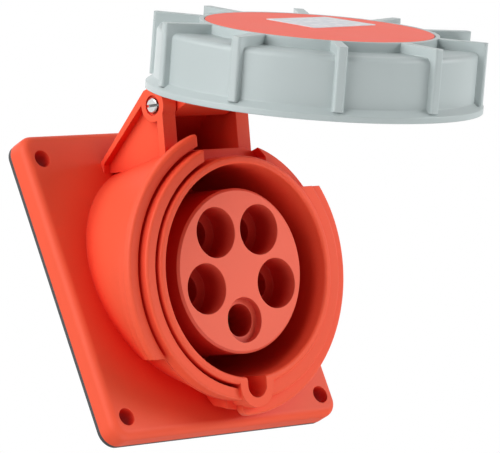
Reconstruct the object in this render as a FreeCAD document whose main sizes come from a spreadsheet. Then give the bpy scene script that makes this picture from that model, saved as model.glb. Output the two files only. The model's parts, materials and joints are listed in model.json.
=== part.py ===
import FreeCAD, Part

import math
import os
import re

import Sketcher
from FreeCAD import Placement, Rotation, Vector

# An industrial panel socket for a five-pole plug of the 63 mm pattern, with a hinged watertight lid.
#
# The row frame: the panel is the plane y = 0, the room in front of it is -Y, and +Z is up.
# The origin is the middle of the four panel screws. The barrel leans down out of the panel by tilt.
#
# Two sets of local coordinates are used:
#   mouth:  x to the right, u up across the barrel, depth back into it from the rim of the mouth
#   lid:    x to the right, w across the lid towards its hinge, height up from the outer face of the lid

SIZES = {
    # the plate and its gasket
    "plate_width": 88.8,
    "plate_height": 97.0,
    "plate_rise": 0.7,
    "plate_depth": 6.7,
    "plate_corner": 5.0,
    "plate_edge": 2.5,
    "plate_wall": 3.0,
    "plate_recess": 3.6,
    "hub_frame": 40.0,
    "hub_rise": 2.6,
    "corner_block": 16.0,
    "screw_side": 5.8,
    "screw_end": 7.3,
    "screw_bore": 2.7,
    "gasket_thick": 1.3,
    "gasket_inset": 0.1,
    "gasket_hole": 37.5,
    "gasket_rise": 3.4,
    # where the barrel sits
    "tilt": 20.44,
    "mouth_forward": 35.52,
    "mouth_drop": 9.45,
    "foot_radius": 33.85,
    "foot_sink": 0.5,
    # the barrel and the steps of its collar, as radii and depths from the rim
    "bore_radius": 31.5,
    "rim_radius": 33.8,
    "rim_round": 0.8,
    "barrel_radius": 38.4,
    "shoulder_depth": 5.5,
    "band_inner": 34.9,
    "band_radius": 38.2,
    "band_set": 1.1,
    "band_round": 0.8,
    "wing_inner": 39.3,
    "wing_radius": 42.7,
    "wing_set": 3.6,
    "wing_thick": 2.6,
    "wing_round": 1.0,
    "lug_floor": 40.7,
    "dome_middle": 39.6,
    "dome_reach": 12.0,
    "dome_foot": 34.5,
    "bore_depth": 42.0,
    "floor_thick": 2.5,
    "floor_hole": 21.8,
    # the gaps in the collar: the notch for the lid's arm and the straight ends of the wings
    "notch_half": 12.5,
    "notch_floor": 36.5,
    "notch_right": 15.8,
    "notch_corner": 33.3,
    "notch_depth": 9.0,
    "wing_end": 23.6,
    "key_side": 7.2,
    "tail_side": 3.4,
    "end_round": 3.0,
    # the keyway at six o'clock
    "key_half": 3.7,
    "key_centre": 33.8,
    "key_depth": 9.5,
    "lobe_half": 6.6,
    "lobe_depth": 11.5,
    # the hinge bracket
    "hinge_back": 17.05,
    "hinge_out": 50.5,
    "bracket_half": 17.0,
    "web_half": 14.5,
    "gap_half": 12.0,
    "bracket_front": 12.9,
    "front_rise": 1.9,
    "rib_thick": 2.7,
    "apex_back": 18.9,
    "apex_rise": 5.1,
    "slope_start_back": 20.5,
    "slope_start_rise": 4.7,
    "slope_back": 43.4,
    "slope_out": 35.0,
    "wall_back": 20.6,
    "wall_rise": 1.7,
    "pocket_back": 38.1,
    "web_back": 41.4,
    "web_out": 34.9,
    "root_out": 32.3,
    "boss_radius": 4.9,
    "pin_radius": 2.2,
    "pin_clearance": 0.05,
    "pin_recess": 0.6,
    "pin_sink": -0.4,
    "recess_radius": 3.0,
    "slot_width": 0.8,
    "slot_depth": 0.9,
    # the contact carrier and the five contacts
    "carrier_radius": 24.4,
    "carrier_set": 3.2,
    "spigot_play": 0.3,
    "pole_circle": 14.52,
    "entry_radius": 7.5,
    "entry_depth": 9.5,
    "entry_edge": 0.7,
    "sleeve_radius": 4.1,
    "sleeve_bore": 3.05,
    "sleeve_play": 0.25,
    "phase_mouth": 20.5,
    "earth_entry": 6.7,
    "earth_entry_depth": 2.3,
    "earth_radius": 4.65,
    "earth_bore": 4.0,
    "earth_mouth": 15.0,
    "sleeve_reach": 20.0,
    "sleeve_slot": 0.8,
    "slot_reach": 14.0,
    "spring_thick": 0.4,
    "spring_gap": 1.2,
    "spring_wide": 3.0,
    "spring_set": 3.0,
    "terminal_radius": 5.0,
    "block_radius": 24.0,
    "block_thick": 13.0,
    "wire_bore": 2.6,
    "wire_reach": 9.0,
    "clamp_radius": 2.0,
    "clamp_long": 8.0,
    "clamp_play": 0.3,
    "centre_screw": 2.5,
    "centre_head": 4.4,
    "centre_head_tall": 3.5,
    "centre_reach": 22.0,
    "thread_play": 0.05,
    "seal_thick": 1.8,
    # the lid, its disc and its ring
    "lid_open": 76.46,
    "lid_ahead": 12.64,
    "disc_radius": 32.9,
    "disc_thick": 1.5,
    "disc_play": 0.3,
    "hub_radius": 34.5,
    "neck_depth": 2.8,
    "ring_web": 2.0,
    "ring_radius": 46.4,
    "ring_shoulder": 1.6,
    "ring_inner": 43.6,
    "flange_top": 17.2,
    "flange_radius": 48.6,
    "flange_thick": 1.7,
    "ring_depth": 20.64,
    "rib_count": 10,
    "rib_phase": 0.2,
    "grip_thick": 3.0,
    "grip_round": 0.8,
    "lug_inner": 41.05,
    "lug_tall": 1.4,
    "lug_top": 19.14,
    "lug_from": 38.0,
    "lug_to": 66.0,
    "spindle_radius": 31.0,
    "cap_thick": 2.4,
    "cap_top": 5.1,
    "skirt_end": 15.9,
    "skirt_inner": 41.3,
    "skirt_outer": 43.0,
    "seal_inner": 30.4,
    "seal_outer": 35.2,
    "seal_wall": 1.6,
    "seal_seat": 8.34,
    "seal_grip": 2.3,
    "seal_tall": 4.0,
    "arm_half": 11.4,
    "arm_top": 21.14,
    "arm_low": 24.6,
    "arm_root": 37.3,
    "arm_reach": 47.5,
    "knuckle_radius": 3.5,
    "peg_radius": 1.5,
    "peg_long": 2.0,
    "peg_circle": 24.0,
}

POLES = {"line_1": 198.0, "line_2": 126.0, "line_3": 54.0, "neutral": -18.0, "earth": 270.0}

PLANES = {"front": "XZ_Plane", "side": "YZ_Plane", "flat": "XY_Plane"}

doc = FreeCAD.newDocument("panel_socket")
sheet = doc.addObject("Spreadsheet::Sheet", "Sizes")
for row, (alias, value) in enumerate(SIZES.items(), start=1):
    sheet.set(f"A{row}", alias)
    sheet.set(f"B{row}", str(value))
    sheet.setAlias(f"B{row}", alias)
doc.recompute()


def bound(text):
    """An expression in plain size names, as the sheet's cells are called in it."""
    return re.sub(r"[a-z]\w*", lambda word: "Sizes." + word[0] if word[0] in SIZES else word[0], text)


def size(text):
    """The value in millimetres or degrees of an expression in size names."""
    return float(sheet.evalExpression(bound(text)))


def bind(thing, slot, text):
    """Tie one property of an object to an expression in size names."""
    thing.setExpression(slot, bound(text))


class Drawing:
    """A sketch on one of a body's own planes, moved by expressions, with every point tied to the sizes."""

    def __init__(self, body, plane, name, base=("0", "0", "0"), axis=(0, 0, 1), angle="0"):
        self.body = body
        self.sketch = body.newObject("Sketcher::SketchObject", name)
        role = PLANES[plane]
        support = next(each for each in body.Origin.OriginFeatures if each.Role == role)
        self.sketch.AttachmentSupport = [(support, "")]
        self.sketch.MapMode = "FlatFace"
        self.sketch.AttachmentOffset = Placement(Vector(), Rotation(Vector(*axis), 1.0))
        for letter, text in zip("xyz", base):
            bind(self.sketch, f"AttachmentOffset.Base.{letter}", text)
        bind(self.sketch, "AttachmentOffset.Rotation.Angle", angle)

    def tie(self, kind, index, point, text, value):
        number = self.sketch.addConstraint(Sketcher.Constraint(kind, -1, 1, index, point, value))
        bind(self.sketch, f"Constraints[{number}]", text)

    def outline(self, *points):
        """A closed outline. A point is (x, y), or (x, y, centre x, centre y, turn) at the end of an arc."""
        spots = [(size(point[0]), size(point[1])) for point in points]
        first = self.sketch.GeometryCount
        ends = []
        for number, point in enumerate(points):
            start = Vector(*spots[number - 1], 0)
            end = Vector(*spots[number], 0)
            if len(point) == 2:
                self.sketch.addGeometry(Part.LineSegment(start, end), False)
                ends.append((1, 2))
                continue
            centre = Vector(size(point[2]), size(point[3]), 0)
            along = [math.atan2(spot.y - centre.y, spot.x - centre.x) for spot in (start, end)]
            if point[4] == "cw":
                along.reverse()
            circle = Part.Circle(centre, Vector(0, 0, 1), (start - centre).Length)
            self.sketch.addGeometry(Part.ArcOfCircle(circle, *along), False)
            ends.append((2, 1) if point[4] == "cw" else (1, 2))
        for number, point in enumerate(points):
            index = first + number
            before = first + (number - 1) % len(points)
            self.sketch.addConstraint(
                Sketcher.Constraint("Coincident", before, ends[number - 1][1], index, ends[number][0])
            )
            keep_x = keep_y = True
            if len(point) == 5:
                self.tie("DistanceX", index, 3, point[2], size(point[2]))
                self.tie("DistanceY", index, 3, point[3], size(point[3]))
                across = abs(spots[number][0] - size(point[2]))
                upward = abs(spots[number][1] - size(point[3]))
                keep_x = across < upward
                keep_y = not keep_x
            if keep_x:
                self.tie("DistanceX", index, ends[number][1], point[0], spots[number][0])
            if keep_y:
                self.tie("DistanceY", index, ends[number][1], point[1], spots[number][1])
        return self

    def box(self, left, bottom, right, top):
        return self.outline((left, bottom), (right, bottom), (right, top), (left, top))

    def circle(self, across, upward, radius):
        middle = Vector(size(across), size(upward), 0)
        index = self.sketch.addGeometry(Part.Circle(middle, Vector(0, 0, 1), size(radius)), False)
        number = self.sketch.addConstraint(Sketcher.Constraint("Radius", index, size(radius)))
        bind(self.sketch, f"Constraints[{number}]", radius)
        self.tie("DistanceX", index, 3, across, middle.x)
        self.tie("DistanceY", index, 3, upward, middle.y)
        return self

    def ellipse(self, across, upward, half_wide, half_tall):
        """An ellipse that is taller than it is wide."""
        middle = Vector(size(across), size(upward), 0)
        top = middle + Vector(0, size(half_tall), 0)
        side = middle + Vector(size(half_wide), 0, 0)
        index = self.sketch.addGeometry(Part.Ellipse(top, side, middle), False)
        self.sketch.exposeInternalGeometry(index)
        self.tie("DistanceX", index, 3, across, middle.x)
        self.tie("DistanceY", index, 3, upward, middle.y)
        tall, wide = self.sketch.Geometry[index + 1], self.sketch.Geometry[index + 2]
        upper = 1 if tall.StartPoint.y > middle.y else 2
        right = 1 if wide.StartPoint.x > middle.x else 2
        self.tie("DistanceX", index + 1, upper, across, middle.x)
        self.tie("DistanceY", index + 1, upper, f"{upward} + {half_tall}", top.y)
        self.tie("DistanceX", index + 2, right, f"{across} + {half_wide}", side.x)
        return self

    def feature(self, kind, **links):
        made = self.body.newObject("PartDesign::" + kind, self.sketch.Name + "_" + kind.lower())
        made.Profile = self.sketch
        for name, value in links.items():
            setattr(made, name, value)
        return made

    def raise_up(self, length, both=False, back=False):
        """Add material along the sketch's normal, to both sides of it, or behind it."""
        made = self.feature("Pad", Midplane=both, Reversed=back)
        bind(made, "Length", length)
        return made

    def sink(self, length, both=False, front=False):
        """Cut behind the sketch, to both sides of it, or in front of it."""
        made = self.feature("Pocket", Midplane=both, Reversed=front)
        bind(made, "Length", length)
        return made

    def turn(self, axis="V_Axis", cut=False, angle=360):
        """Turn the outline round one of the sketch's axes, as material or as a cut."""
        made = self.feature("Groove" if cut else "Revolution")
        made.ReferenceAxis = (self.sketch, [axis])
        made.Angle = angle
        return made


def piece(name):
    body = doc.addObject("PartDesign::Body", name)
    body.Label = name
    return body


def repeat(body, drawing, features, count, angle):
    """Copies of features round the normal of a drawing; the angle runs from the first to the last."""
    pattern = body.newObject("PartDesign::PolarPattern", drawing.sketch.Name + "_pattern")
    pattern.Originals = features
    pattern.Axis = (drawing.sketch, ["N_Axis"])
    bind(pattern, "Angle", angle)
    bind(pattern, "Occurrences", count)
    body.Tip = pattern
    return pattern


def soften(body, name, radius, wanted):
    """Round those edges of the body that the test picks out."""
    doc.recompute()
    base = body.Tip
    picked = [f"Edge{number}" for number, edge in enumerate(base.Shape.Edges, start=1) if wanted(edge)]
    made = body.newObject("PartDesign::Fillet", name)
    made.Base = (base, picked)
    bind(made, "Radius", radius)
    return made


def close(value, text, slack=0.02):
    return abs(value - size(text)) < slack


def mouth_side(body, name):
    """A sketch in the middle plane of the barrel: depth from the rim against the height u."""
    return Drawing(
        body, "side", name, base=("-mouth_forward", "-mouth_drop", "0"), axis=(0, 0, 1), angle="tilt"
    )


def mouth_front(body, name, depth="0", up="0"):
    """A sketch across the barrel at a depth from the rim: x against u, from a height up."""
    base = (
        "0",
        f"-mouth_drop + ({depth}) * sin(tilt) + ({up}) * cos(tilt)",
        f"mouth_forward - ({depth}) * cos(tilt) + ({up}) * sin(tilt)",
    )
    return Drawing(body, "front", name, base=base, axis=(1, 0, 0), angle="tilt")


def to_mouth(body):
    """Stand a body on the mouth's centre: its Z runs out of the mouth and its Y is u."""
    body.Placement = Placement(Vector(), Rotation(Vector(1, 0, 0), 90.0))
    bind(body, "Placement.Base.y", "-mouth_forward")
    bind(body, "Placement.Base.z", "-mouth_drop")
    bind(body, "Placement.Rotation.Angle", "90 + tilt")


HINGE_Y = "(-mouth_forward + hinge_back * cos(tilt) - hinge_out * sin(tilt))"
HINGE_Z = "(-mouth_drop + hinge_back * sin(tilt) + hinge_out * cos(tilt))"
LID_LEAN = "(90 + tilt - lid_open)"
LID_RISE = "(hinge_back + lid_ahead)"


def to_lid(body):
    """Put a piece that is drawn in the lid's own coordinates on the open lid."""
    body.Placement = Placement(Vector(), Rotation(Vector(1, 0, 0), 30.0))
    bind(body, "Placement.Base.y", f"{HINGE_Y} - hinge_out * cos{LID_LEAN} - {LID_RISE} * sin{LID_LEAN}")
    bind(body, "Placement.Base.z", f"{HINGE_Z} - hinge_out * sin{LID_LEAN} + {LID_RISE} * cos{LID_LEAN}")
    bind(body, "Placement.Rotation.Angle", LID_LEAN)


# The housing is one moulding: plate, leaning barrel, stepped collar with its bayonet wings, keyway
# and hinge bracket.

FRONT = "gasket_thick + plate_depth"


def barrel_foot(body, name, radius):
    """The oval where a round barrel of this radius leaves the plate, just inside the plate's face."""
    face = f"({FRONT} - foot_sink)"
    drawing = Drawing(body, "front", name, base=("0", "0", face))
    centre = f"-mouth_drop + tan(tilt) * (mouth_forward - {face})"
    return drawing.ellipse("0", centre, radius, f"{radius} / cos(tilt)")


def loft(body, name, foot, *circles):
    """The skin from the oval foot on the plate over circles across the barrel."""
    made = foot.feature("AdditiveLoft", Sections=[circle.sketch for circle in circles])
    made.Label = name
    made.Ruled = True
    return made


def wings():
    """The two bayonet wings with the domed shoulders behind them, cut to their sectors."""
    body = piece("wings")
    steps = mouth_side(body, "wing_steps")
    back = "wing_set + wing_thick"
    steps.outline(
        ("wing_set", "wing_inner"),
        ("wing_set", "wing_radius - wing_round"),
        ("wing_set + wing_round", "wing_radius", "wing_set + wing_round", "wing_radius - wing_round", "cw"),
        (back, "wing_radius"),
        (back, "band_inner"),
        ("shoulder_depth", "band_inner"),
        ("shoulder_depth", "wing_inner"),
    )
    steps.turn("H_Axis")
    reach = "wing_radius * 2"
    tail = mouth_front(body, "wing_tail", "-1")
    corner = "-tail_side + end_round", "-wing_radius + end_round"
    tail.outline(
        ("-" + reach, "-" + reach),
        (corner[0], "-" + reach),
        (corner[0], "-wing_radius"),
        ("-tail_side", corner[1], corner[0], corner[1], "cw"),
        ("-tail_side", "-wing_end"),
        ("-" + reach, "-wing_end"),
    )
    tail.sink("mouth_forward")
    foot = barrel_foot(body, "dome_foot_oval", "dome_foot")
    waist = mouth_front(body, "dome_waist", "dome_reach").circle("0", "0", "dome_middle")
    shoulder = mouth_front(body, "dome_top", back).circle("0", "0", "lug_floor")
    loft(body, "dome", foot, waist, shoulder)
    sectors = mouth_front(body, "wing_sectors", "-1")
    sectors.box("-notch_half", "wing_end", reach, reach)
    sectors.box("-" + reach, "-" + reach, "-key_side", "-wing_end")
    sectors.sink("mouth_forward * 2")
    return body


def plate(body):
    drawing = Drawing(body, "front", "plate_outline", base=("0", "plate_rise", "gasket_thick"))
    drawing.box("-plate_width / 2", "-plate_height / 2", "plate_width / 2", "plate_height / 2")
    drawing.raise_up("plate_depth")
    soften(body, "plate_corners", "plate_corner", lambda edge: close(edge.Length, "plate_depth"))

    def on_face(edge):
        return close(edge.BoundBox.YMax, f"-({FRONT})") and close(edge.BoundBox.YMin, f"-({FRONT})")

    soften(body, "plate_front_edge", "plate_edge", on_face)
    recess = Drawing(body, "front", "plate_recess_outline", base=("0", "plate_rise", "gasket_thick"))
    wide, tall = "(plate_width / 2 - plate_wall)", "(plate_height / 2 - plate_wall)"
    recess.outline(
        (f"-{wide}", f"-{tall} + corner_block"),
        (f"-{wide} + corner_block", f"-{tall}"),
        (f"{wide} - corner_block", f"-{tall}"),
        (wide, f"-{tall} + corner_block"),
        (wide, f"{tall} - corner_block"),
        (f"{wide} - corner_block", tall),
        (f"-{wide} + corner_block", tall),
        (f"-{wide}", f"{tall} - corner_block"),
    )
    recess.sink("plate_recess", front=True)
    hub = Drawing(body, "front", "plate_hub", base=("0", "plate_rise + hub_rise", "gasket_thick"))
    hub.circle("0", "0", "hub_frame").raise_up("plate_recess")


def bracket(body):
    """Two ears for the hinge pin on a slanted wall, with thinner webs between wall, boss and rib."""
    side = mouth_side(body, "bracket_side")
    side.outline(
        ("bracket_front", "root_out"),
        ("bracket_front", "hinge_out + front_rise"),
        ("apex_back", "hinge_out + apex_rise"),
        ("slope_start_back", "hinge_out + slope_start_rise"),
        ("slope_back", "slope_out"),
        ("slope_back", "root_out"),
    )
    side.raise_up("bracket_half * 2", both=True)
    for sign, name in (("", "right"), ("-", "left")):
        base = ("-mouth_forward", "-mouth_drop", sign + "web_half")
        web = Drawing(body, "side", name + "_web", base=base, axis=(0, 0, 1), angle="tilt")
        web.outline(
            ("bracket_front + rib_thick", "root_out"),
            ("web_back", "root_out"),
            ("web_back", "web_out"),
            ("wall_back", "hinge_out + wall_rise"),
            ("bracket_front + rib_thick", "hinge_out + wall_rise"),
        )
        web.sink("bracket_half", front=sign == "")
    boss = mouth_side(body, "boss").circle("hinge_back", "hinge_out", "boss_radius")
    boss.raise_up("bracket_half * 2", both=True)


def barrel(body):
    top = mouth_front(body, "barrel_top", "shoulder_depth").circle("0", "0", "barrel_radius")
    loft(body, "barrel_skin", barrel_foot(body, "barrel_foot_oval", "foot_radius"), top)
    tube = mouth_side(body, "tube_section")
    tube.outline(
        ("0", "0"),
        ("0", "rim_radius - rim_round"),
        ("rim_round", "rim_radius", "rim_round", "rim_radius - rim_round", "cw"),
        ("bore_depth + floor_thick", "rim_radius"),
        ("bore_depth + floor_thick", "0"),
    )
    tube.turn("H_Axis")
    band = mouth_side(body, "band_section")
    band.outline(
        ("band_set", "band_inner"),
        ("band_set", "band_radius - band_round"),
        ("band_set + band_round", "band_radius", "band_set + band_round", "band_radius - band_round", "cw"),
        ("shoulder_depth + 1", "band_radius"),
        ("shoulder_depth + 1", "band_inner"),
    )
    band.turn("H_Axis")
    joined = mouth_side(body, "joined_steps")
    joined.outline(
        ("band_set", "rim_radius - 1"),
        ("band_set", "band_inner + 1"),
        ("wing_set", "band_inner + 1"),
        ("wing_set", "wing_inner + 1"),
        ("shoulder_depth", "wing_inner + 1"),
        ("shoulder_depth", "rim_radius - 1"),
    )
    joined.turn("H_Axis", angle=180)


def key_lobe(body):
    lobe = mouth_front(body, "key_lobe")
    lobe.outline(
        ("-lobe_half", "-bore_radius"),
        ("-lobe_half", "-key_centre"),
        ("lobe_half", "-key_centre", "0", "-key_centre", "ccw"),
        ("lobe_half", "-bore_radius"),
    )
    lobe.raise_up("lobe_depth", back=True)


def openings(body):
    """Everything that is cut after the solid parts are joined."""
    gap = mouth_front(body, "collar_gap", "-1")
    gap.outline(
        ("-notch_half", "barrel_radius * 2"),
        ("barrel_radius * 2", "barrel_radius * 2"),
        ("barrel_radius * 2", "wing_end"),
        ("sqrt(rim_radius * rim_radius - wing_end * wing_end)", "wing_end"),
        ("-notch_half", "sqrt(rim_radius * rim_radius - notch_half * notch_half)", "0", "0", "ccw"),
    )
    gap.sink("shoulder_depth + 1")
    notch = mouth_front(body, "notch_pocket", "-1")
    notch.outline(
        ("-notch_half", "barrel_radius + 1"),
        ("notch_right + notch_corner - barrel_radius - 1", "barrel_radius + 1"),
        ("notch_right", "notch_corner"),
        ("notch_right", "sqrt(rim_radius * rim_radius - notch_right * notch_right)"),
        ("-notch_half", "sqrt(rim_radius * rim_radius - notch_half * notch_half)", "0", "0", "ccw"),
    )
    notch.sink("notch_depth + 1")
    cavity = mouth_side(body, "hinge_cavity")
    cavity.outline(
        ("-1", "notch_floor"),
        ("pocket_back", "notch_floor"),
        ("wall_back", "hinge_out + wall_rise"),
        ("wall_back", "hinge_out + apex_rise + 1"),
        ("-1", "hinge_out + apex_rise + 1"),
    )
    cavity.sink("gap_half * 2", both=True)
    pin_hole = mouth_front(body, "pin_hole", "hinge_back", up="hinge_out")
    half, step = "bracket_half", "(bracket_half - pin_recess)"
    pin_hole.outline(
        (f"-{half} - 1", "0"),
        (f"-{half} - 1", "recess_radius"),
        (f"-{step}", "recess_radius"),
        (f"-{step}", "pin_radius + pin_clearance"),
        (step, "pin_radius + pin_clearance"),
        (step, "recess_radius"),
        (f"{half} + 1", "recess_radius"),
        (f"{half} + 1", "0"),
    )
    pin_hole.turn("H_Axis", cut=True)
    bore = mouth_side(body, "bore_section")
    behind = "bore_depth + floor_thick"
    bore.outline(
        ("-1", "0"),
        ("-1", "bore_radius + rim_round"),
        ("0", "bore_radius + rim_round"),
        ("rim_round", "bore_radius", "rim_round", "bore_radius + rim_round", "ccw"),
        ("bore_depth", "bore_radius"),
        ("bore_depth", "floor_hole"),
        (behind, "floor_hole"),
        (behind, "rim_radius"),
        (behind + " * 2", "rim_radius"),
        (behind + " * 2", "0"),
    )
    bore.turn("H_Axis", cut=True)
    key = mouth_front(body, "key_slot", "-1")
    key.outline(
        ("-key_half", "-carrier_radius - 3"),
        ("-key_half", "-key_centre"),
        ("key_half", "-key_centre", "0", "-key_centre", "ccw"),
        ("key_half", "-carrier_radius - 3"),
    )
    key.sink("key_depth + 1")
    holes = Drawing(body, "front", "screw_holes")
    four_holes(holes, "screw_bore")
    holes.sink(FRONT + " + 1", front=True)


def four_holes(drawing, radius):
    across, upward = "(plate_width / 2 - screw_side)", "(plate_height / 2 - screw_end)"
    for side in ("-", ""):
        drawing.circle(side + across, "-" + upward, radius)
        drawing.circle(side + across, upward, radius)
    return drawing


def housing():
    body = piece("housing")
    plate(body)
    bracket(body)
    barrel(body)
    joined = body.newObject("PartDesign::Boolean", "collar_with_wings")
    joined.Type = "Fuse"
    joined.setObjects([wings()])
    body.Tip = joined
    key_lobe(body)
    openings(body)
    return body


def flange_gasket():
    body = piece("flange_gasket")
    drawing = Drawing(body, "front", "gasket_outline", base=("0", "plate_rise", "0"))
    wide, tall = "(plate_width / 2 - gasket_inset)", "(plate_height / 2 - gasket_inset)"
    drawing.box(f"-{wide}", f"-{tall}", wide, tall)
    drawing.raise_up("gasket_thick")
    soften(body, "gasket_corners", "plate_corner", lambda edge: close(edge.Length, "gasket_thick"))
    holes = Drawing(body, "front", "gasket_holes", base=("0", "0", "-1"))
    four_holes(holes, "screw_bore").circle("0", "gasket_rise", "gasket_hole")
    holes.sink("gasket_thick + 2", front=True)
    return body


# The insert: a carrier with five bores, the sleeve contacts in it and the terminal block behind.
# These pieces are drawn with Z out of the mouth, so that a depth is a negative height.


def pole_spot(angle):
    return f"pole_circle * cos({angle})", f"pole_circle * sin({angle})"


def level(body, name, depth):
    """A sketch across the barrel's axis in one of the insert's bodies."""
    return Drawing(body, "flat", name, base=("0", "0", f"-({depth})"))


def axial(body, name):
    """A half section through the barrel's axis, radius against height."""
    return Drawing(body, "front", name)


def radial(body, name, angle):
    """A sketch through the barrel's axis whose normal points outward at an angle."""
    return Drawing(body, "side", name, axis=(0, 1, 0), angle=str(angle))


def contact_carrier():
    body = piece("contact_carrier")
    end = "bore_depth + floor_thick"
    section = axial(body, "carrier_section")
    section.outline(
        ("0", "-carrier_set"),
        ("carrier_radius - entry_edge", "-carrier_set"),
        ("carrier_radius", "-carrier_set - entry_edge"),
        ("carrier_radius", "-bore_depth"),
        ("floor_hole + seal_thick", "-bore_depth"),
        ("floor_hole + seal_thick", "-bore_depth + seal_thick"),
        ("floor_hole - spigot_play", "-bore_depth + seal_thick"),
        ("floor_hole - spigot_play", f"-({end})"),
        ("0", f"-({end})"),
    )
    section.turn()
    spot = pole_spot(POLES["neutral"])
    entry = level(body, "phase_entry", "carrier_set - 1").circle(*spot, "entry_radius")
    wide = entry.sink("entry_depth + 1")
    through = level(body, "phase_bore", "carrier_set").circle(*spot, "sleeve_radius + sleeve_play")
    narrow = through.sink("bore_depth * 2")
    axis = level(body, "carrier_axis", "carrier_set")
    repeat(body, axis, [wide, narrow], "4", "216")
    spot = pole_spot(POLES["earth"])
    level(body, "earth_entry_hole", "carrier_set - 1").circle(*spot, "earth_entry").sink("earth_entry_depth + 1")
    bore = level(body, "earth_hole", "carrier_set").circle(*spot, "earth_radius + sleeve_play")
    bore.sink("bore_depth * 2")
    screw = level(body, "centre_thread", "bore_depth + floor_thick + block_thick - centre_reach - 1")
    screw.circle("0", "0", "centre_screw + thread_play").sink("bore_depth")
    return body


def terminal_block():
    body = piece("terminal_block")
    start = "bore_depth + floor_thick"
    disc = level(body, "block_outline", start).circle("0", "0", "block_radius")
    disc.raise_up("block_thick", back=True)
    centre = level(body, "block_centre", start + " - 1").circle("0", "0", "centre_screw + thread_play")
    centre.sink("block_thick + 2")
    spot = pole_spot(POLES["neutral"])
    well = level(body, "terminal_well", start + " - 1").circle(*spot, "terminal_radius + sleeve_play")
    wells = well.sink("block_thick + 2")
    middle = f"-({start} + block_thick / 2)"
    hole = radial(body, "clamp_hole", POLES["neutral"])
    holes = hole.circle("0", middle, "clamp_radius + clamp_play").sink("block_radius + 1", front=True)
    repeat(body, disc, [wells, holes], "5", "288")
    return body


def contact(name, angle, radius, bore, mouth):
    """A slotted sleeve with a groove for its spring and a drilled terminal end with a clamp thread."""
    body = piece("contact_" + name)
    spot = pole_spot(angle)
    start = "bore_depth + floor_thick"

    def ring(label, depth, length, size_of):
        level(body, label, depth).circle(*spot, size_of).raise_up(length, back=True)

    def drill(label, depth, length, size_of):
        level(body, label, depth).circle(*spot, size_of).sink(length)

    ring("sleeve", mouth, f"{start} - {mouth}", radius)
    ring("terminal", start, "block_thick - 1", "terminal_radius")
    drill("sleeve_hole", mouth + " - 1", "sleeve_reach + 1", bore)
    drill("wire_hole", f"{start} + block_thick - wire_reach", "wire_reach + 1", "wire_bore")
    groove = level(body, "spring_groove", f"{mouth} + spring_set")
    groove.circle(*spot, radius + " + 1").circle(*spot, radius + " - spring_thick").sink("spring_wide")
    slit = Drawing(body, "side", "sleeve_slit", base=(spot[1], f"-({mouth})", spot[0]))
    slit.box("-sleeve_slot / 2", "-slot_reach", "sleeve_slot / 2", "1")
    slit.sink(radius + " * 2 + 1", both=True)
    middle = f"-({start} + block_thick / 2)"
    thread = radial(body, "clamp_thread", angle).circle("0", middle, "clamp_radius + thread_play")
    thread.sink("block_radius", front=True)
    return body


def contact_spring(name, angle, radius, mouth):
    body = piece("contact_spring_" + name)
    spot = pole_spot(angle)
    ring = level(body, "spring_ring", f"{mouth} + spring_set")
    ring.circle(*spot, radius).circle(*spot, radius + " - spring_thick").raise_up("spring_wide", back=True)
    split = Drawing(body, "side", "spring_split", base=(spot[1], f"-({mouth} + spring_set)", spot[0]))
    split.box("0", "-spring_wide - 1", radius + " + 1", "1").sink("spring_gap", both=True)
    return body


def terminal_screws():
    body = piece("terminal_screws")
    body.AllowCompound = True
    middle = "-(bore_depth + floor_thick + block_thick / 2)"
    shank = radial(body, "clamp_screw", POLES["neutral"])
    axis = level(body, "screw_axis", "0")
    offset = "pole_circle + terminal_radius - clamp_radius"
    shank.circle("0", middle, "clamp_radius")
    solid = shank.raise_up(f"{offset} + clamp_long")
    inside = radial(body, "clamp_start", POLES["neutral"])
    hollow = inside.circle("0", middle, "clamp_radius + 1").sink(offset, front=True)
    repeat(body, axis, [solid, hollow], "5", "288")
    return body


def carrier_screw():
    body = piece("carrier_screw")
    seat = "bore_depth + floor_thick + block_thick"
    level(body, "screw_head", seat).circle("0", "0", "centre_head").raise_up("centre_head_tall", back=True)
    level(body, "screw_shank", seat).circle("0", "0", "centre_screw").raise_up("centre_reach")
    slot = level(body, "screw_slot", f"{seat} + centre_head_tall - slot_depth * 1.5")
    slot.box("-centre_head - 1", "-slot_width / 2", "centre_head + 1", "slot_width / 2").sink("slot_depth * 2")
    return body


def carrier_seal():
    body = piece("carrier_seal")
    ring = level(body, "seal_ring", "bore_depth - seal_thick")
    ring.circle("0", "0", "floor_hole + seal_thick").circle("0", "0", "floor_hole - spigot_play")
    ring.raise_up("seal_thick", back=True)
    return body


def hinge_pin():
    body = piece("hinge_pin")
    end = "(bracket_half - pin_sink)"
    section = Drawing(body, "front", "pin_section")
    section.outline(
        (f"-{end}", "0"),
        (f"-{end}", "pin_radius - 0.3"),
        (f"-{end} + 0.3", "pin_radius"),
        (f"{end} - 0.3", "pin_radius"),
        (end, "pin_radius - 0.3"),
        (end, "0"),
    )
    section.turn("H_Axis")
    slot = Drawing(body, "side", "driver_slot", base=("0", "0", f"-{end} + slot_depth"))
    slot.box("-pin_radius * 2", "-slot_width / 2", "pin_radius * 2", "slot_width / 2").sink("slot_depth * 2")
    body.Placement = Placement(Vector(), Rotation(Vector(1, 0, 0), 20.0))
    bind(body, "Placement.Base.y", HINGE_Y)
    bind(body, "Placement.Base.z", HINGE_Z)
    bind(body, "Placement.Rotation.Angle", "tilt")
    return body


# The lid is drawn with Z out of its face, so that a height below the face is negative.


def lid_disc():
    body = piece("lid_disc")
    axial(body, "disc_section").outline(
        ("0", "0"), ("disc_radius", "0"), ("disc_radius", "-disc_thick"), ("0", "-disc_thick")
    ).turn()
    peg = level(body, "disc_peg", "disc_thick").circle("0", "peg_circle", "peg_radius")
    pegs = peg.raise_up("peg_long", back=True)
    repeat(body, peg, [pegs], "3", "240")
    return body


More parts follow.
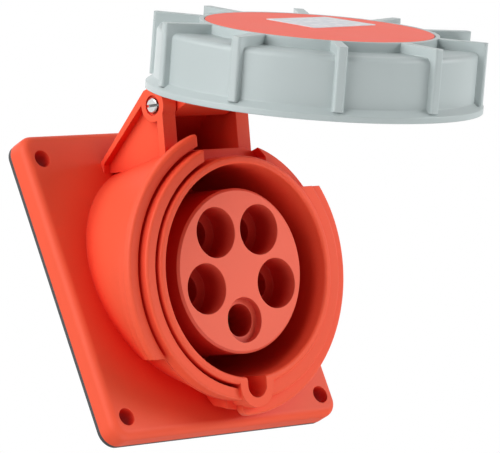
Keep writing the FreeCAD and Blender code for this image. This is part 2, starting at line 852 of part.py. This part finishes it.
def lid_body():
    body = piece("lid_body")
    arm = Drawing(body, "side", "arm_side")
    arm.outline(
        ("arm_root", "-cap_top"),
        ("arm_root", "-arm_low"),
        ("hinge_out - knuckle_radius * 0.63", "-hinge_back - lid_ahead - knuckle_radius * 0.74"),
        ("hinge_out", "-hinge_back - lid_ahead"),
        ("hinge_out + knuckle_radius * 0.9", "-hinge_back - lid_ahead + knuckle_radius * 0.4"),
        ("arm_reach", "-arm_top"),
        ("skirt_outer + 1", "-arm_top"),
        ("skirt_outer + 1", "-cap_top"),
    )
    arm.raise_up("arm_half * 2", both=True)
    knuckle = Drawing(body, "side", "knuckle").circle("hinge_out", "-hinge_back - lid_ahead", "knuckle_radius")
    knuckle.raise_up("arm_half * 2", both=True)
    axial(body, "arm_trim").outline(
        ("skirt_outer", "0"),
        ("skirt_outer * 2", "0"),
        ("skirt_outer * 2", "-arm_top"),
        ("skirt_outer", "-arm_top"),
    ).turn(cut=True)
    inner = "-disc_thick - cap_thick"
    axial(body, "cap_section").outline(
        ("0", "-disc_thick"),
        ("spindle_radius", "-disc_thick"),
        ("spindle_radius", "-cap_top"),
        ("skirt_outer", "-cap_top"),
        ("skirt_outer", "-skirt_end"),
        ("skirt_inner", "-skirt_end"),
        ("skirt_inner", "-cap_top - cap_thick"),
        ("seal_outer + seal_wall", "-cap_top - cap_thick"),
        ("seal_outer + seal_wall", "-seal_seat - seal_grip"),
        ("seal_outer", "-seal_seat - seal_grip"),
        ("seal_outer", "-seal_seat"),
        ("seal_inner", "-seal_seat"),
        ("seal_inner", "-seal_seat - seal_grip"),
        ("seal_inner - seal_wall", "-seal_seat - seal_grip"),
        ("seal_inner - seal_wall", inner),
        ("0", inner),
    ).turn()
    hole = Drawing(body, "side", "knuckle_bore")
    hole.circle("hinge_out", "-hinge_back - lid_ahead", "pin_radius + pin_clearance").sink("arm_half * 3", both=True)
    peg = level(body, "peg_hole", "disc_thick - 1").circle("0", "peg_circle", "peg_radius + thread_play")
    pegs = peg.sink("peg_long + 1 + thread_play")
    repeat(body, peg, [pegs], "3", "240")
    return body


def lid_seal():
    body = piece("lid_seal")
    ring = level(body, "lid_seal_ring", "seal_seat").circle("0", "0", "seal_outer").circle("0", "0", "seal_inner")
    ring.raise_up("seal_tall", back=True)
    return body


def locking_ring():
    """A turning grip ring with ribs outside and two bayonet lugs inside its mouth."""
    body = piece("locking_ring")
    lip = "disc_radius + disc_play"
    axial(body, "ring_section").outline(
        ("spindle_radius + disc_play", "-disc_thick - disc_play"),
        (lip, "-disc_thick - disc_play"),
        (lip, "0"),
        ("hub_radius", "0"),
        ("hub_radius", "-neck_depth"),
        ("ring_radius - ring_shoulder", "-neck_depth"),
        (
            "ring_radius",
            "-neck_depth - ring_shoulder",
            "ring_radius - ring_shoulder",
            "-neck_depth - ring_shoulder",
            "cw",
        ),
        ("ring_radius", "-flange_top"),
        ("flange_radius", "-ring_depth + flange_thick"),
        ("flange_radius", "-ring_depth"),
        ("spindle_radius + disc_play", "-ring_depth"),
    ).turn()
    rib = Drawing(body, "flat", "grip_rib", axis=(0, 0, 1), angle="rib_phase - 90")
    half, end = "grip_thick / 2", "flange_radius"
    rib.outline(
        ("hub_radius - 0.5", f"-{half}"),
        (f"{end} - grip_round", f"-{half}"),
        (end, f"-{half} + grip_round", f"{end} - grip_round", f"-{half} + grip_round", "ccw"),
        (end, f"{half} - grip_round"),
        (f"{end} - grip_round", half, f"{end} - grip_round", f"{half} - grip_round", "ccw"),
        ("hub_radius - 0.5", half),
    )
    ribs = rib.raise_up("flange_top + flange_thick / 2", back=True)
    repeat(body, rib, [ribs], "rib_count", "360 - 360 / rib_count")
    axial(body, "ring_inside").outline(
        ("skirt_outer / 2", "-neck_depth - ring_web"),
        ("ring_inner", "-neck_depth - ring_web"),
        ("ring_inner", "-ring_depth - 1"),
        ("skirt_outer / 2", "-ring_depth - 1"),
    ).turn(cut=True)
    for name, start, stop in (("upper_lug", "lug_from", "lug_to"), ("lower_lug", "lug_from - 178", "lug_to - 178")):
        lug = level(body, name, "lug_top")
        inner, outer = "lug_inner", "(ring_inner + 0.4)"
        lug.outline(
            (f"{outer} * cos({start})", f"{outer} * sin({start})"),
            (f"{outer} * cos({stop})", f"{outer} * sin({stop})", "0", "0", "ccw"),
            (f"{inner} * cos({stop})", f"{inner} * sin({stop})"),
            (f"{inner} * cos({start})", f"{inner} * sin({start})", "0", "0", "cw"),
        )
        lug.raise_up("lug_tall", back=True)
    return body


NODES = [housing(), flange_gasket(), hinge_pin()]
insert = [contact_carrier(), terminal_block(), terminal_screws(), carrier_screw(), carrier_seal()]
for name, angle in POLES.items():
    if name == "earth":
        measures = ("earth_radius", "earth_bore", "earth_mouth")
    else:
        measures = ("sleeve_radius", "sleeve_bore", "phase_mouth")
    insert.append(contact(name, angle, *measures))
    insert.append(contact_spring(name, angle, measures[0], measures[2]))
for body in insert:
    to_mouth(body)
lid = [lid_disc(), lid_body(), lid_seal(), locking_ring()]
for body in lid:
    to_lid(body)
NODES += insert + lid
doc.recompute()

for thing in doc.Objects:
    if "Invalid" in thing.State or "Error" in thing.State:
        raise RuntimeError(f"{thing.Name}: {thing.State}")
os.makedirs("parts", exist_ok=True)
for body in NODES:
    shape = body.Shape
    if shape.isNull() or not shape.isValid():
        raise RuntimeError(f"{body.Label} has no valid shape")
    shape.exportStep(f"parts/{body.Label}.step")
    print(f"{body.Label:22s} {len(shape.Solids)} solids {shape.Volume / 1000:9.3f} cm3")
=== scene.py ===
# %% [markdown]
# # A panel socket, dressed for its photograph
#
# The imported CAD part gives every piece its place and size. This file gives the pieces their
# finish, adds the soft edges that a moulded part has, and sets up the light and the camera. It
# runs from top to bottom and can be read as a lesson: each cell of code follows a note on what
# the thing is and why it is made so.

import json
import math

import bmesh
import bpy
from mathutils import Matrix, Vector


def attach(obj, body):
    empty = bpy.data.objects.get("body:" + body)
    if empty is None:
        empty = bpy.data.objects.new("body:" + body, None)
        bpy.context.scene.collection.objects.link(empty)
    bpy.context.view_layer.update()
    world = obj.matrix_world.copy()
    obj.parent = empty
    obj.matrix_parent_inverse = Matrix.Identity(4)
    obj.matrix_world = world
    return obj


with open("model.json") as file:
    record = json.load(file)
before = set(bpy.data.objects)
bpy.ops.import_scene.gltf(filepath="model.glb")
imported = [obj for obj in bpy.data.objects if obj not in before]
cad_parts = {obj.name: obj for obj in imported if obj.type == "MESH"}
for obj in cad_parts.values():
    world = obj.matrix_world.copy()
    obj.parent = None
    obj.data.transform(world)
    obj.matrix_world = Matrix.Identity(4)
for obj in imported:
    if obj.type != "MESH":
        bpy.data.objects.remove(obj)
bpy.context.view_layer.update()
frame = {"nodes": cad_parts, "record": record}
node = frame["nodes"]
scene = bpy.context.scene
MM = 0.001
print("nodes in the frame:", len(node))

# %% [markdown]
# ## Arithmetic on shader sockets
#
# A surface that looks real is never one value. Its colour, roughness and relief are sums and
# products of noise, and each sum or product is a node with links. Writing them as plain
# arithmetic keeps them short: the small class below wraps the output of a node, and its operators
# add the matching maths node.

# %% A socket that can be added and multiplied
# A Mix node has sockets for numbers, vectors and colours. These are the places of the colour ones.
MIX_FACTOR, MIX_DARK, MIX_LIGHT = 0, 6, 7
MIX_RESULT = 2


class Signal:
    """The output of a shader node. Arithmetic on it adds a maths node and gives its output."""

    def __init__(self, wiring, socket):
        self.wiring = wiring
        self.socket = socket

    def maths(self, operation, *values):
        return self.wiring.add("ShaderNodeMath", operation=operation, inputs=values)

    def __add__(self, other):
        return self.maths("ADD", self, other)

    __radd__ = __add__

    def __mul__(self, other):
        return self.maths("MULTIPLY", self, other)

    __rmul__ = __mul__

    def __sub__(self, other):
        return self.maths("SUBTRACT", self, other)

    def __rsub__(self, other):
        return self.maths("SUBTRACT", other, self)

    def either(self, other):
        """The larger of two values."""
        return self.maths("MAXIMUM", self, other)

    def between(self, low, high):
        """Zero below low, one above high and a straight line in between."""
        return self.wiring.add(
            "ShaderNodeMapRange", inputs={"Value": self, "From Min": low, "From Max": high}
        )

    def choose(self, dark, light):
        """A colour between two others, by this value."""
        return self.wiring.add(
            "ShaderNodeMix",
            MIX_RESULT,
            data_type="RGBA",
            inputs={MIX_FACTOR: self, MIX_DARK: dark, MIX_LIGHT: light},
        )


print("signals ready")

# %% [markdown]
# ## Wiring
#
# Materials and the world are both trees of nodes, so one class adds nodes to either. A material
# needs a little more: a principled surface to feed, and the few patterns that all the finishes
# here are made of. Noise is measured in the object's own coordinates, which are metres, and so a
# pattern keeps its true size on every piece and stays put when the piece moves.

# %% Node trees and materials
# Two of the nodes look round with short rays. More rays give a smoother result and take longer.
SHORT_RAYS = 8


class Wiring:
    """A tree of shader nodes that is built by calls."""

    def __init__(self, tree):
        self.tree = tree

    def add(self, kind, output=0, inputs=(), **settings):
        """Any node: its settings by name, its inputs by place or name, and one output back."""
        made = self.tree.nodes.new(kind)
        for name, value in settings.items():
            setattr(made, name, value)
        pairs = inputs.items() if isinstance(inputs, dict) else enumerate(inputs)
        for key, value in pairs:
            self.feed(made.inputs[key], value)
        return Signal(self, made.outputs[output]) if made.outputs else None

    def feed(self, socket, value):
        """A link, a colour of three channels, or a plain number."""
        if isinstance(value, Signal):
            self.tree.links.new(value.socket, socket)
        elif socket.type == "RGBA":
            socket.default_value = (*value, 1.0)
        else:
            socket.default_value = value


class Finish(Wiring):
    """One material, on its way to a principled surface."""

    def __init__(self, name):
        self.material = bpy.data.materials.new(name)
        self.material.use_nodes = True
        super().__init__(self.material.node_tree)
        self.surface = self.tree.nodes["Principled BSDF"]

    def set(self, **values):
        """Inputs of the surface, with underscores for the spaces in their names."""
        for name, value in values.items():
            self.feed(self.surface.inputs[name.replace("_", " ")], value)

    def noise(self, per_metre, detail=2.0):
        """Soft random patches, so many to a metre of the object."""
        place = self.add("ShaderNodeTexCoord", "Object")
        inputs = {"Vector": place, "Scale": per_metre, "Detail": detail}
        return self.add("ShaderNodeTexNoise", "Fac", inputs=inputs)

    def rounding(self, radius):
        """The surface direction, turned softly round every sharp edge, radius in metres."""
        return self.add("ShaderNodeBevel", samples=SHORT_RAYS, inputs={"Radius": radius})

    def openness(self, reach):
        """One where a surface lies open, near zero deep in a hole or a groove."""
        inputs = {"Distance": reach}
        return self.add("ShaderNodeAmbientOcclusion", "AO", samples=SHORT_RAYS, inputs=inputs)

    def relief(self, height, depth, over=None):
        """A bump from a height signal, depth in metres, laid over another surface direction."""
        inputs = {"Height": height, "Distance": depth}
        if over is not None:
            inputs["Normal"] = over
        return self.add("ShaderNodeBump", inputs=inputs)


print("wiring ready")

# %% [markdown]
# ## The finishes
#
# The housing is red polyamide out of a spark-eroded mould: a satin skin with a very fine grain.
# The ring is the same plastic in grey. The grain is too fine to see one by one at this distance,
# so a bump of a few microns is enough to break up the reflections, and slow noise shifts the
# colour by a few parts in a hundred. Edges are rounded by a bevel node, which turns the light
# without adding faces; a modelled fillet on every edge would make the part heavy.
#
# Deep in a hole or a groove the light has gone from wall to wall many times, and red plastic looks
# darker and purer there. The reds of the housing and of the insert therefore name a painted shade
# as well, a darker colour that they go over to where the surface is not open.

# %% Moulded plastics
MOULD_CLOUDS, MOULD_GRAIN = 38.0, 2600.0  # patches and specks to a metre
MEAN = 0.5  # what noise is on average, so that noise minus this swings both ways
CLOUDS_IN_TINT, GRAIN_IN_TINT = 0.75, 0.25
DARKEST_TINT = 0.93
CLOUDS_IN_ROUGHNESS, GRAIN_IN_ROUGHNESS = 0.08, 0.05
GRAIN_DEPTH = 0.012 * MM
# the painted shade of holes: how far it looks for walls, and over what openness it fades out
HOLE_SHADE_REACH = 16.0 * MM
HOLE_SHADE_TO_OPEN = (0.25, 0.85)  # how open a hole is at most, and an outer wall at least


def darkened(colour, share):
    return tuple(channel * share for channel in colour)


def moulded(name, colour, rough, gloss=0.5, edge=0.35, painted_hole_shade=None):
    """A satin plastic, edges of so many millimetres, and painted shade in its holes if named."""
    finish = Finish(name)
    clouds = finish.noise(MOULD_CLOUDS)
    grain = finish.noise(MOULD_GRAIN)
    pattern = clouds * CLOUDS_IN_TINT + grain * GRAIN_IN_TINT
    tint = pattern.choose(darkened(colour, DARKEST_TINT), colour)
    if painted_hole_shade is not None:
        # painted shade: where the surface is not open, the colour goes over to the darker one
        tint = finish.openness(HOLE_SHADE_REACH).between(*HOLE_SHADE_TO_OPEN).choose(painted_hole_shade, tint)
    finish.set(
        Base_Color=tint,
        Roughness=rough
        + (clouds - MEAN) * CLOUDS_IN_ROUGHNESS
        + (grain - MEAN) * GRAIN_IN_ROUGHNESS,
        Normal=finish.relief(grain, GRAIN_DEPTH, over=finish.rounding(edge * MM)),
        Specular_IOR_Level=gloss,
    )
    return finish.material


# the second reds of the housing and the insert are painted shade for holes and grooves
housing_red = moulded(
    "red moulding", (0.86, 0.102, 0.046), rough=0.50, gloss=0.20, painted_hole_shade=(0.68, 0.012, 0.005)
)
disc_red = moulded("disc plastic", (0.95, 0.115, 0.066), rough=0.46, gloss=0.15)
carrier_red = moulded(
    "carrier plastic", (0.84, 0.130, 0.072), rough=0.52, gloss=0.30, painted_hole_shade=(0.46, 0.010, 0.005)
)
ring_grey = moulded("grey moulding", (0.46, 0.52, 0.52), rough=0.42, gloss=0.45, edge=0.5)
block_black = moulded("block plastic", (0.035, 0.035, 0.037), rough=0.5)
plastics = (housing_red, disc_red, carrier_red, ring_grey, block_black)
print("moulded plastics:", [each.name for each in plastics])

# %% [markdown]
# ## Rubber
#
# The gasket and the seals are nearly black, dull and a little dusty. Dust lies in soft patches, so
# the same noise that pales the colour also takes the last of the shine away.

# %% Rubber
DUST_PATCHES, RUBBER_GRAIN = 140.0, 1500.0
DUST_IN_ROUGHNESS = 0.2
RUBBER_DEPTH = 0.02 * MM


def rubber(name, clean, dusty, rough):
    finish = Finish(name)
    dust = finish.noise(DUST_PATCHES, detail=4.0)
    finish.set(
        Base_Color=dust.choose(clean, dusty),
        Roughness=rough + dust * DUST_IN_ROUGHNESS,
        Normal=finish.relief(finish.noise(RUBBER_GRAIN, detail=3.0), RUBBER_DEPTH),
    )
    return finish.material


seal_black = rubber("seal rubber", (0.030, 0.032, 0.034), (0.060, 0.064, 0.066), rough=0.62)
print("rubber:", seal_black.name)

# %% [markdown]
# ## Metals
#
# The contacts are turned brass, dull and brown, darkened beyond their own tone as painted shade
# for mouths that lie less deep than they should. The screws are zinc plated steel with a faint
# cloudiness. Slots and corners go over to a dark tone where the surface is not open: painted
# shade.
# A painted texture could show that too, but would have to be redrawn for every screw, while
# openness finds each slot by itself.

# %% Metals
METAL_CLOUDS, METAL_SCRATCHES = 220.0, 3200.0
# the first share is a random tone; the second is painted shade for slots and corners
DULL_METAL, SLOT_SHADE_SHARE = 0.8, 0.08
CLOUDS_IN_METAL_ROUGHNESS = 0.12
SCRATCH_DEPTH = 0.004 * MM
SLOT_SHADE_REACH = 1.5 * MM
SLOT_SHADE_TO_OPEN = (0.35, 0.85)


def metal(name, colour, rough):
    finish = Finish(name)
    clouds = finish.noise(METAL_CLOUDS, detail=3.0)
    scratches = finish.noise(METAL_SCRATCHES, detail=1.0)
    clean = clouds.choose(darkened(colour, DULL_METAL), colour)
    # painted shade: a near black copy of the metal for slots and corners
    painted_slot_shade = darkened(colour, SLOT_SHADE_SHARE)
    finish.set(
        Base_Color=finish.openness(SLOT_SHADE_REACH).between(*SLOT_SHADE_TO_OPEN).choose(painted_slot_shade, clean),
        Metallic=1.0,
        Roughness=rough + (clouds - MEAN) * CLOUDS_IN_METAL_ROUGHNESS,
        Normal=finish.relief(scratches, SCRATCH_DEPTH),
    )
    return finish.material


# the brass is darkened past its own dull tone as painted shade for contact mouths set too shallow
contact_brass = metal("contact brass", (0.34, 0.22, 0.10), rough=0.42)
spring_steel = metal("spring steel", (0.62, 0.62, 0.62), rough=0.30)
screw_steel = metal("screw steel", (0.74, 0.74, 0.73), rough=0.26)
print("metals:", [each.name for each in (contact_brass, spring_steel, screw_steel)])

# %% [markdown]
# ## A finish for every node
#
# The record says what each node is made of, so the finishes are handed out by that and not node by
# node. Round walls look round with smooth shading, which stops at any edge sharper than an angle.

# %% Hand out the finishes
SHARP_EDGE = math.radians(32)

finish_of_slot = {
    "red_moulding": housing_red,
    "disc_plastic": disc_red,
    "carrier_plastic": carrier_red,
    "grey_moulding": ring_grey,
    "block_plastic": block_black,
    "seal_rubber": seal_black,
    "contact_brass": contact_brass,
    "spring_steel": spring_steel,
    "screw_steel": screw_steel,
}
slot_of_node = {entry["node"]: entry["material_slot"] for entry in frame["record"]["subparts"]}
for name, piece in node.items():
    piece.data.materials.clear()
    piece.data.materials.append(finish_of_slot[slot_of_node[name]])
    for polygon in piece.data.polygons:
        polygon.use_smooth = True
    piece.data.set_sharp_from_angle(angle=SHARP_EDGE)
print("finished nodes:", len(node))

# %% [markdown]
# ## The label on the lid
#
# A thin bare plate lies on the red disc, a few degrees askew, as a label put on by hand does. A
# patch of colour in the disc's material would be simpler, but a plate has an edge that catches the
# light. It is drawn in the plane of the lid: x goes across and w goes up the lid, towards the
# hinge. A ray sent down on the disc finds its skin, so that the plate rests there.

# %% The plane of the lid
LID_TILT = math.radians(33.98)
LID_MIDDLE = Vector((0.0, -95.65, 40.22)) * MM
RAY_START = 100.0 * MM
across = Vector((1.0, 0.0, 0.0))
hingeward = Vector((0.0, math.cos(LID_TILT), math.sin(LID_TILT)))
upward = across.cross(hingeward)


def on_lid(x, w, height):
    return LID_MIDDLE + across * x + hingeward * w + upward * height


def skin_of_disc(x, w):
    """How far along the lid's normal the disc's skin lies above the middle of the lid."""
    disc = node["lid_disc"]
    inverse = disc.matrix_world.inverted()
    start = on_lid(x, w, RAY_START)
    begin = inverse @ start
    hit, where, _, _ = disc.ray_cast(begin, (inverse @ (start - upward) - begin).normalized())
    if not hit:
        raise ValueError("no disc below this point")
    return (disc.matrix_world @ where - LID_MIDDLE).dot(upward)


print("the lid looks along:", [round(part, 3) for part in upward])

# %% [markdown]
# Its outline is a list of points round the four corners, each turned on a small arc. The corners
# are not a true rectangle, because they are placed where the photograph shows them.

# %% The outline of the label
LABEL_CORNERS = ((-4.1, -2.4), (23.9, 1.0), (21.0, 19.5), (-5.1, 17.7))
CORNER_RADIUS = 1.0 * MM
CORNER_STEPS = 5


def rounded(corners, radius):
    """A closed outline through the corners, each turned on an arc."""
    points = []
    for index, corner in enumerate(corners):
        before = (corners[index - 1] - corner).normalized()
        after = (corners[(index + 1) % len(corners)] - corner).normalized()
        half = before.angle(after) / 2
        middle = corner + (before + after).normalized() * (radius / math.sin(half))
        start = corner + before * (radius / math.tan(half)) - middle
        end = corner + after * (radius / math.tan(half)) - middle
        for step in range(CORNER_STEPS + 1):
            turned = start.slerp(end, step / CORNER_STEPS).normalized()
            points.append(middle + turned * radius)
    return points


corners = [Vector((x, w, 0.0)) * MM for x, w in LABEL_CORNERS]
centre = sum(corners, Vector()) / len(corners)
outline = rounded(corners, CORNER_RADIUS)
print("points in the label's outline:", len(outline))

# %% [markdown]
# The plate is three copies of the outline: one just under the disc's skin, one near the top, and
# one a little smaller at the top, so that the rim has a fine chamfer.

# %% The label plate
PLATE_THICK, SUNK, CHAMFER = 0.15 * MM, 0.02 * MM, 0.04 * MM


def build_plate(name, outline, centre):
    skin = skin_of_disc(centre.x, centre.y)
    levels = ((0.0, -SUNK), (0.0, PLATE_THICK - CHAMFER), (CHAMFER, PLATE_THICK))
    vertices = []
    for inset, height in levels:
        for point in outline:
            inner = point + (centre - point).normalized() * inset
            vertices.append(on_lid(inner.x, inner.y, skin + height))
    count = len(outline)
    faces = [list(range(count))[::-1], list(range(2 * count, 3 * count))]
    for low, high in ((0, count), (count, 2 * count)):
        for index in range(count):
            after = (index + 1) % count
            faces.append([low + index, low + after, high + after, high + index])
    mesh = bpy.data.meshes.new(name)
    mesh.from_pydata(vertices, [], faces)
    work = bmesh.new()
    work.from_mesh(mesh)
    bmesh.ops.recalc_face_normals(work, faces=work.faces)
    work.to_mesh(mesh)
    work.free()
    plate = bpy.data.objects.new(name, mesh)
    scene.collection.objects.link(plate)
    return plate


label = build_plate("label_plate", outline, centre)
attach(label, "lid")
print("label rests on the disc:", label.name)

# %% [markdown]
# The plate is a smooth film with nothing on it, white with faint grey patches where it has been
# handled. Noise seldom strays far from its middle, so a narrow band of it is stretched to the full
# range from grey to white.

# %% The label's finish
FILM_PATCHES = 420.0
GREY_TO_WHITE = (0.45, 0.62)
PATCHES_IN_ROUGHNESS = 0.15


def bare_film(name, grey, white, rough, gloss):
    finish = Finish(name)
    patches = finish.noise(FILM_PATCHES)
    finish.set(
        Base_Color=patches.between(*GREY_TO_WHITE).choose(grey, white),
        Roughness=rough + patches * PATCHES_IN_ROUGHNESS,
        Specular_IOR_Level=gloss,
    )
    return finish.material


film = bare_film("label film", (0.66, 0.68, 0.72), (0.80, 0.80, 0.82), rough=0.38, gloss=0.4)
label.data.materials.append(film)
print("label's finish:", film.name)

# %% [markdown]
# ## The camera
#
# The photograph was taken from the left, in front and a little below, through a long lens. The
# place, the directions and the focal length come from fitting the circles of the mouth and the lid
# and the corners of the plate to where they lie in the photograph, which is surer than moving a
# camera by eye.

# %% Camera
FOCAL_LENGTH, SENSOR_WIDTH = 259.63, 36.0
NEAREST, FARTHEST = 0.05, 20.0
CAMERA_PLACE = Vector((-711.99, -769.27, -284.52)) * MM
CAMERA_RIGHT = Vector((0.73728, -0.59931, -0.31185))
CAMERA_UP = Vector((0.05228, -0.40960, 0.91076))
CAMERA_BACK = Vector((-0.67357, -0.68779, -0.27066))


def build_camera():
    data = bpy.data.cameras.new("camera")
    data.sensor_width = SENSOR_WIDTH
    data.lens = FOCAL_LENGTH
    data.clip_start = NEAREST
    data.clip_end = FARTHEST
    camera = bpy.data.objects.new("camera", data)
    turn = Matrix((CAMERA_RIGHT, CAMERA_UP, CAMERA_BACK)).transposed().to_4x4()
    camera.matrix_world = Matrix.Translation(CAMERA_PLACE) @ turn
    scene.collection.objects.link(camera)
    scene.camera = camera


build_camera()
print("the camera looks along:", [round(-part, 3) for part in CAMERA_BACK])

# %% [markdown]
# ## The world
#
# The photograph is a cut-out on white, so the eye sees a plain white world, and so do mirrors. As
# a light the same world is much weaker, or it would wash the colours out. The kind of ray decides
# which of the two it meets.

# %% World
WHITE = (1.0, 1.0, 1.0)
WHITE_STRENGTH = 1.0
WORLD_LIGHT = 0.08


def build_world():
    """White to the eye and in reflections, weaker as a light."""
    world = bpy.data.worlds.new("white world")
    world.use_nodes = True
    world.node_tree.nodes.clear()
    wiring = Wiring(world.node_tree)
    seen = wiring.add("ShaderNodeLightPath", "Is Camera Ray")
    for ray in ("Is Glossy Ray", "Is Transmission Ray"):
        seen = seen.either(wiring.add("ShaderNodeLightPath", ray))
    light, white = (
        wiring.add("ShaderNodeBackground", inputs={"Color": WHITE, "Strength": strength})
        for strength in (WORLD_LIGHT, WHITE_STRENGTH)
    )
    shown = wiring.add("ShaderNodeMixShader", inputs=(seen, light, white))
    wiring.add("ShaderNodeOutputWorld", inputs={"Surface": shown})
    scene.world = world


build_world()
print("world as a light:", WORLD_LIGHT)

# %% [markdown]
# ## The lamps
#
# The object is lit by soft lamps: the strongest grazes the plate from the upper left, so the
# barrel's side is bright and the plate beside it stays deep red. One from the right front lights
# the faces, weak ones from below lift the lower edge of the plate, and one behind lights the back,
# which the photograph hides. Large lamps give soft shadows and no hard glints.

# %% Lamps
AIM = Vector((0.0, -0.06, 0.0))


def lamp(name, place, width, height, watts):
    """A soft rectangle of light, in metres, turned towards the object."""
    data = bpy.data.lights.new(name, "AREA")
    data.shape = "RECTANGLE"
    data.size = width
    data.size_y = height
    data.energy = watts
    made = bpy.data.objects.new(name, data)
    made.location = place
    made.rotation_euler = (AIM - Vector(place)).to_track_quat("-Z", "Y").to_euler()
    scene.collection.objects.link(made)
    return made


lamps = [
    lamp("upper left", (-1.10, -0.14, 0.60), 1.3, 1.5, watts=23.0),
    lamp("right front", (0.90, -0.95, 0.10), 0.8, 0.8, watts=11.0),
    lamp("below", (0.20, -0.20, -1.20), 0.8, 0.8, watts=6.0),
    lamp("low left", (-0.80, -0.80, -0.70), 0.8, 0.8, watts=2.0),
    lamp("low front", (0.00, -0.80, -1.05), 0.8, 0.8, watts=1.5),
    lamp("behind", (0.30, 1.30, 0.50), 1.2, 1.2, watts=3.0),
]
print("lamps:", [each.name for each in lamps])

# %% [markdown]
# ## The floor
#
# A pale floor far below gives back a little light. The camera sees it as white, so that no edge of
# it shows from the side, while lamps and reflections meet a matt surface.

# %% Floor
FLOOR_HALF, FLOOR_LEVEL = 4.0, -1.3
FLOOR_CLOUDS, FLOOR_ROUGHNESS = 3.0, 0.7
FLOOR_DARK, FLOOR_PALE = (0.78, 0.78, 0.78), (0.82, 0.82, 0.82)


def build_floor():
    """A wide pale floor, far enough below that no view of the socket goes under it."""
    mesh = bpy.data.meshes.new("floor")
    corners = ((-1, -1), (1, -1), (1, 1), (-1, 1))
    points = [(x * FLOOR_HALF, y * FLOOR_HALF, FLOOR_LEVEL) for x, y in corners]
    mesh.from_pydata(points, [], [(0, 1, 2, 3)])
    floor = bpy.data.objects.new("floor", mesh)
    scene.collection.objects.link(floor)
    finish = Finish("pale floor")
    tint = finish.noise(FLOOR_CLOUDS).choose(FLOOR_DARK, FLOOR_PALE)
    finish.set(Base_Color=tint, Roughness=FLOOR_ROUGHNESS)
    white = finish.add("ShaderNodeEmission", inputs={"Color": WHITE, "Strength": WHITE_STRENGTH})
    seen = finish.add("ShaderNodeLightPath", "Is Camera Ray")
    lit = Signal(finish, finish.surface.outputs[0])
    shown = finish.add("ShaderNodeMixShader", inputs=(seen, lit, white))
    finish.feed(finish.tree.nodes["Material Output"].inputs["Surface"], shown)
    mesh.materials.append(finish.material)


build_floor()
scene.view_settings.view_transform = "Standard"
print("floor level, m:", FLOOR_LEVEL)

# %% [markdown]
# ## The end

# %% The end
print("scene built")
